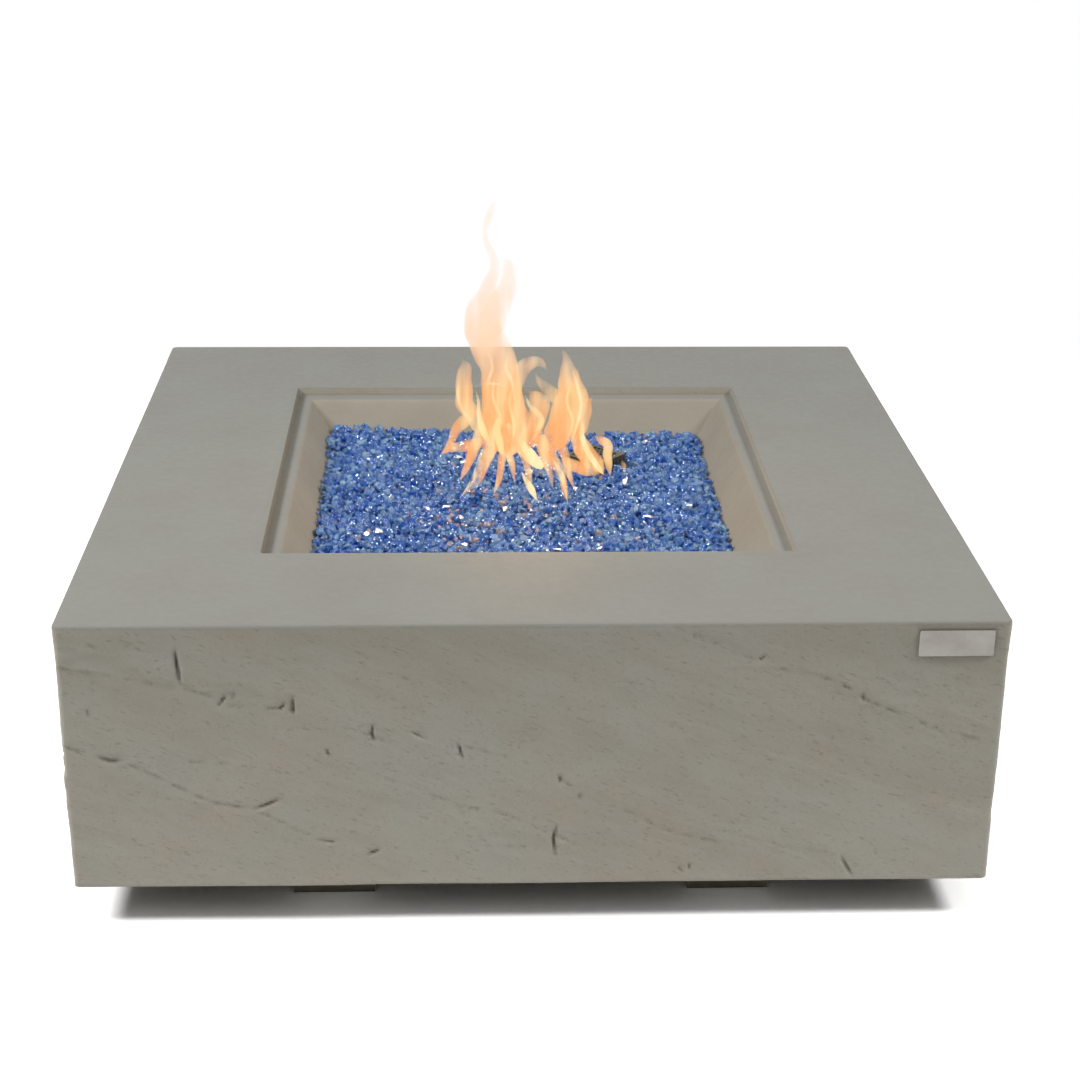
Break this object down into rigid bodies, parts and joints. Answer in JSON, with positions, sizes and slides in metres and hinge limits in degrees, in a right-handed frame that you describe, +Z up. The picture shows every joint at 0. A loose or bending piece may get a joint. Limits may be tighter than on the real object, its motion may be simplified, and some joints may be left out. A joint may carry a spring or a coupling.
{
  "type": "fire pit table",
  "caption": "Low square cast-concrete fire pit table with a hopper-shaped fire bowl, blue fire glass over a gas ring burner, and a recessed control panel at the rear.",
  "frame": {"origin": "on the floor under the middle of the table", "axes": "+Z up, the front face with the plate towards -Y, the control panel towards +Y, +X to the right seen from the front"},
  "size_m": [1.067, 1.067, 0.381],
  "materials": {
    "concrete": "cast, smooth on top and slate-textured on the sides",
    "fire_glass": "crushed, sharp-edged",
    "stainless": "brushed",
    "zinc_steel": "zinc plated",
    "cast_alloy": "die cast",
    "brass": "turned",
    "black_plastic": "moulded",
    "ceramic": "unglazed",
    "lead_rubber": "silicone sleeve",
    "battery_can": "printed sleeve, plain"
  },
  "bodies": {
    "table": {"body_shell": "concrete", "foot_front_left": "concrete", "foot_front_right": "concrete", "foot_rear_left": "concrete", "foot_rear_right": "concrete", "fire_glass": "fire_glass", "blank_plate": "stainless", "burner_plate": "stainless", "burner_ring": "stainless", "igniter_guard": "stainless", "igniter_bracket": "stainless", "heat_shield": "stainless", "control_tray": "stainless", "gas_tube": "stainless", "rail_left": "zinc_steel", "rail_right": "zinc_steel", "cleat_front_left": "zinc_steel", "cleat_front_right": "zinc_steel", "cleat_rear_left": "zinc_steel", "cleat_rear_right": "zinc_steel", "foot_bolts": "zinc_steel", "foot_nuts": "zinc_steel", "rail_bolts": "zinc_steel", "rail_nuts": "zinc_steel", "wall_bolts": "zinc_steel", "plate_screws": "zinc_steel", "guard_screws": "zinc_steel", "shield_spacers": "zinc_steel", "shield_screws": "zinc_steel", "tray_screws": "zinc_steel", "valve_screws": "zinc_steel", "button_spring": "zinc_steel", "igniter_nut": "zinc_steel", "gas_valve": "cast_alloy", "air_mixer": "cast_alloy", "wall_inserts": "brass", "bowl_inserts": "brass", "shield_inserts": "brass", "drain_bushes": "brass", "burner_locknut": "brass", "jet_fitting": "brass", "tube_nuts": "brass", "flame_sensor": "brass", "sensor_lead": "brass", "valve_bonnet": "brass", "inlet_fitting": "brass", "igniter_barrel": "black_plastic", "spark_electrode": "ceramic", "electrode_lead": "lead_rubber", "battery": "battery_can"},
    "plug": {"valve_plug": "brass", "stem_spring": "zinc_steel"},
    "knob": {"control_knob": "black_plastic", "valve_stem": "zinc_steel"},
    "button": {"igniter_button": "black_plastic"}
  },
  "joints": [
    {"name": "knob_turn", "type": "hinge", "parent": "table", "child": "plug", "pos_m": [-0.04, 0.46, 0.13], "axis": [0, 1, 0], "range_deg": [0, 210]},
    {"name": "knob_push", "type": "slide", "parent": "plug", "child": "knob", "axis": [0, -1, 0], "range_m": [0, 0.004], "stiffness_N_per_m": 1500, "springref_m": -0.002, "deforming": ["stem_spring"]},
    {"name": "igniter_push", "type": "slide", "parent": "table", "child": "button", "axis": [0, -1, 0], "range_m": [0, 0.004], "stiffness_N_per_m": 1000, "springref_m": -0.002, "deforming": ["button_spring"]}
  ]
}
